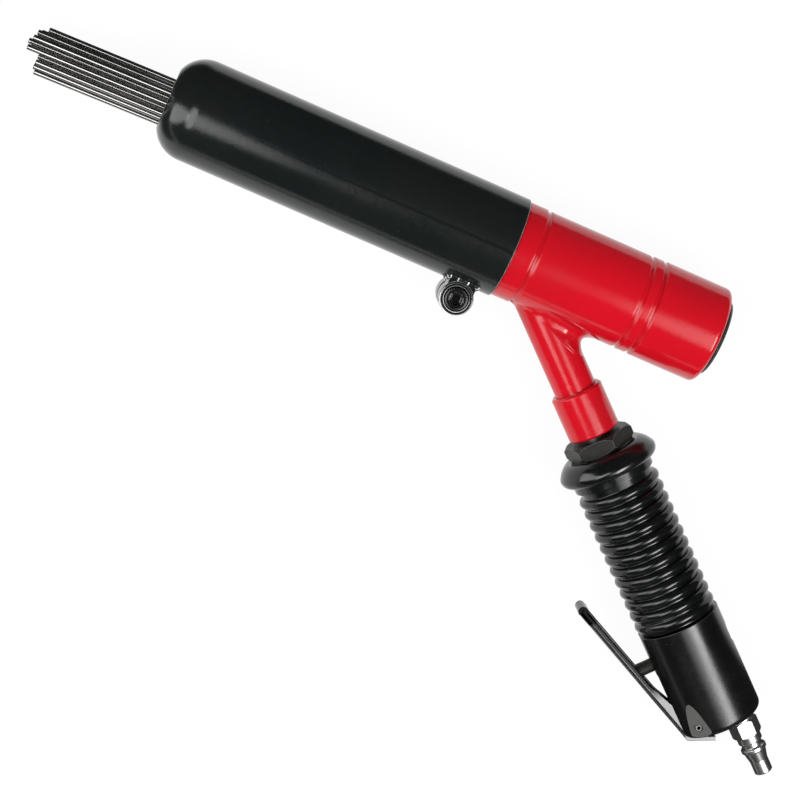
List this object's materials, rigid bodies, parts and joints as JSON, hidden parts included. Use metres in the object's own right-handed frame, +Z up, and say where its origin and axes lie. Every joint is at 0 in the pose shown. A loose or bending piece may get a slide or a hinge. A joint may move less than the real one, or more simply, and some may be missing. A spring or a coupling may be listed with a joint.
{
  "type": "pneumatic needle scaler",
  "caption": "Hand-held pneumatic needle scaler with a front tube of sliding steel needles, striker body, raked ribbed grip, lever throttle and quick-connect air plug.",
  "frame": {"origin": "centre of the overall box on the surface that the tool lies on", "axes": "+X along the barrel from the needles to the rear plug, +Z up with the tool lying on its side, handle towards -Y"},
  "size_m": [0.5349, 0.2434, 0.0564],
  "materials": {
    "black_paint": "gloss black enamel",
    "red_paint": "gloss red enamel",
    "needle_steel": "bare drawn steel",
    "spring_steel": "oiled spring steel",
    "machined_steel": "ground steel",
    "black_steel": "blackened steel",
    "black_alloy": "satin black anodised",
    "grip_rubber": "matt black rubber",
    "seal_rubber": "black rubber",
    "lever_plate": "bright plated sheet steel",
    "plug_plate": "bright plated steel",
    "bronze": "bronze"
  },
  "bodies": {
    "tool_body": {"body": "red_paint", "handle_socket": "red_paint", "lock_nut": "black_steel", "handle_pipe": "machined_steel", "grip": "grip_rubber", "valve_body": "black_alloy", "lever_pin": "machined_steel", "valve_plug": "black_steel", "seal_washer": "plug_plate", "air_plug": "plug_plate", "inlet_filter": "machined_steel", "anvil_bush": "bronze", "cylinder_liner": "machined_steel", "valve_seat": "machined_steel", "valve_chest": "machined_steel", "rear_plug": "black_steel", "rear_seal": "seal_rubber", "plunger_seal": "seal_rubber", "throttle_spring": "spring_steel"},
    "front_tube": {"needle_tube": "black_paint", "clamp_screw": "black_steel", "nose_ring": "machined_steel", "needle_spring": "spring_steel"},
    "needle_holder": {"needle_holder": "machined_steel"},
    "anvil": {"anvil": "machined_steel"},
    "piston": {"piston": "machined_steel"},
    "valve_disc": {"valve_disc": "machined_steel"},
    "lever": {"lever": "lever_plate"},
    "plunger": {"plunger": "black_steel", "poppet": "bronze"},
    "needle_01": {"needle_01": "needle_steel"},
    "needle_02": {"needle_02": "needle_steel"},
    "needle_03": {"needle_03": "needle_steel"},
    "needle_04": {"needle_04": "needle_steel"},
    "needle_05": {"needle_05": "needle_steel"},
    "needle_06": {"needle_06": "needle_steel"},
    "needle_07": {"needle_07": "needle_steel"},
    "needle_08": {"needle_08": "needle_steel"},
    "needle_09": {"needle_09": "needle_steel"},
    "needle_10": {"needle_10": "needle_steel"},
    "needle_11": {"needle_11": "needle_steel"},
    "needle_12": {"needle_12": "needle_steel"},
    "needle_13": {"needle_13": "needle_steel"},
    "needle_14": {"needle_14": "needle_steel"},
    "needle_15": {"needle_15": "needle_steel"},
    "needle_16": {"needle_16": "needle_steel"},
    "needle_17": {"needle_17": "needle_steel"},
    "needle_18": {"needle_18": "needle_steel"},
    "needle_19": {"needle_19": "needle_steel"}
  },
  "joints": [
    {"name": "tube_adjust", "type": "slide", "parent": "tool_body", "child": "front_tube", "axis": [-1, 0, 0], "range_m": [0, 0.025], "deforming": ["needle_spring"]},
    {"name": "holder_slide", "type": "slide", "parent": "tool_body", "child": "needle_holder", "axis": [-1, 0, 0], "range_m": [0, 0.008], "stiffness_N_per_m": 3000, "springref_m": -0.01, "deforming": ["needle_spring"]},
    {"name": "anvil_slide", "type": "slide", "parent": "tool_body", "child": "anvil", "axis": [-1, 0, 0], "range_m": [0, 0.003]},
    {"name": "piston_stroke", "type": "slide", "parent": "tool_body", "child": "piston", "axis": [1, 0, 0], "range_m": [-0.0035, 0.022]},
    {"name": "valve_lift", "type": "slide", "parent": "tool_body", "child": "valve_disc", "axis": [1, 0, 0], "range_m": [-0.0008, 0.0008]},
    {"name": "lever_press", "type": "hinge", "parent": "tool_body", "child": "lever", "pos_m": [0.21495, -0.10636, 0.0282], "axis": [0, 0, -1], "range_deg": [0, 8], "stiffness_Nm_per_rad": 2, "springref_deg": -11.46},
    {"name": "plunger_slide", "type": "slide", "parent": "tool_body", "child": "plunger", "axis": [0.6678, 0.7443, 0], "range_m": [0, 0.0061], "deforming": ["throttle_spring"]},
    {"name": "needle_01_slide", "type": "slide", "parent": "needle_holder", "child": "needle_01", "axis": [-0.9997, -0.0236, 0], "range_m": [-0.00045, 0.00855]},
    {"name": "needle_02_slide", "type": "slide", "parent": "needle_holder", "child": "needle_02", "axis": [-0.9997, -0.0236, 0], "range_m": [-0.00153, 0.00747]},
    {"name": "needle_03_slide", "type": "slide", "parent": "needle_holder", "child": "needle_03", "axis": [-0.9997, -0.0236, 0], "range_m": [-0.00117, 0.00783]},
    {"name": "needle_04_slide", "type": "slide", "parent": "needle_holder", "child": "needle_04", "axis": [-0.9997, -0.0236, 0], "range_m": [-0.00072, 0.00828]},
    {"name": "needle_05_slide", "type": "slide", "parent": "needle_holder", "child": "needle_05", "axis": [-0.9997, -0.0236, 0], "range_m": [-0.00054, 0.00846]},
    {"name": "needle_06_slide", "type": "slide", "parent": "needle_holder", "child": "needle_06", "axis": [-0.9997, -0.0236, 0], "range_m": [-0.00135, 0.00765]},
    {"name": "needle_07_slide", "type": "slide", "parent": "needle_holder", "child": "needle_07", "axis": [-0.9997, -0.0236, 0], "range_m": [-0.00819, 0.00081]},
    {"name": "needle_08_slide", "type": "slide", "parent": "needle_holder", "child": "needle_08", "axis": [-0.9997, -0.0236, 0], "range_m": [-0.0009, 0.0081]},
    {"name": "needle_09_slide", "type": "slide", "parent": "needle_holder", "child": "needle_09", "axis": [-0.9997, -0.0236, 0], "range_m": [-0.00108, 0.00792]},
    {"name": "needle_10_slide", "type": "slide", "parent": "needle_holder", "child": "needle_10", "axis": [-0.9997, -0.0236, 0], "range_m": [-0.0072, 0.0018]},
    {"name": "needle_11_slide", "type": "slide", "parent": "needle_holder", "child": "needle_11", "axis": [-0.9997, -0.0236, 0], "range_m": [-0.009, 0]},
    {"name": "needle_12_slide", "type": "slide", "parent": "needle_holder", "child": "needle_12", "axis": [-0.9997, -0.0236, 0], "range_m": [-0.00711, 0.00189]},
    {"name": "needle_13_slide", "type": "slide", "parent": "needle_holder", "child": "needle_13", "axis": [-0.9997, -0.0236, 0], "range_m": [-0.0063, 0.0027]},
    {"name": "needle_14_slide", "type": "slide", "parent": "needle_holder", "child": "needle_14", "axis": [-0.9997, -0.0236, 0], "range_m": [-0.00765, 0.00135]},
    {"name": "needle_15_slide", "type": "slide", "parent": "needle_holder", "child": "needle_15", "axis": [-0.9997, -0.0236, 0], "range_m": [-0.00585, 0.00315]},
    {"name": "needle_16_slide", "type": "slide", "parent": "needle_holder", "child": "needle_16", "axis": [-0.9997, -0.0236, 0], "range_m": [-0.00621, 0.00279]},
    {"name": "needle_17_slide", "type": "slide", "parent": "needle_holder", "child": "needle_17", "axis": [-0.9997, -0.0236, 0], "range_m": [-0.0054, 0.0036]},
    {"name": "needle_18_slide", "type": "slide", "parent": "needle_holder", "child": "needle_18", "axis": [-0.9997, -0.0236, 0], "range_m": [-0.00495, 0.00405]},
    {"name": "needle_19_slide", "type": "slide", "parent": "needle_holder", "child": "needle_19", "axis": [-0.9997, -0.0236, 0], "range_m": [-0.00153, 0.00747]}
  ],
  "couplings": [
    {"joint": "plunger_slide", "follows": "lever_press", "m_per_rad": 0.0427}
  ]
}
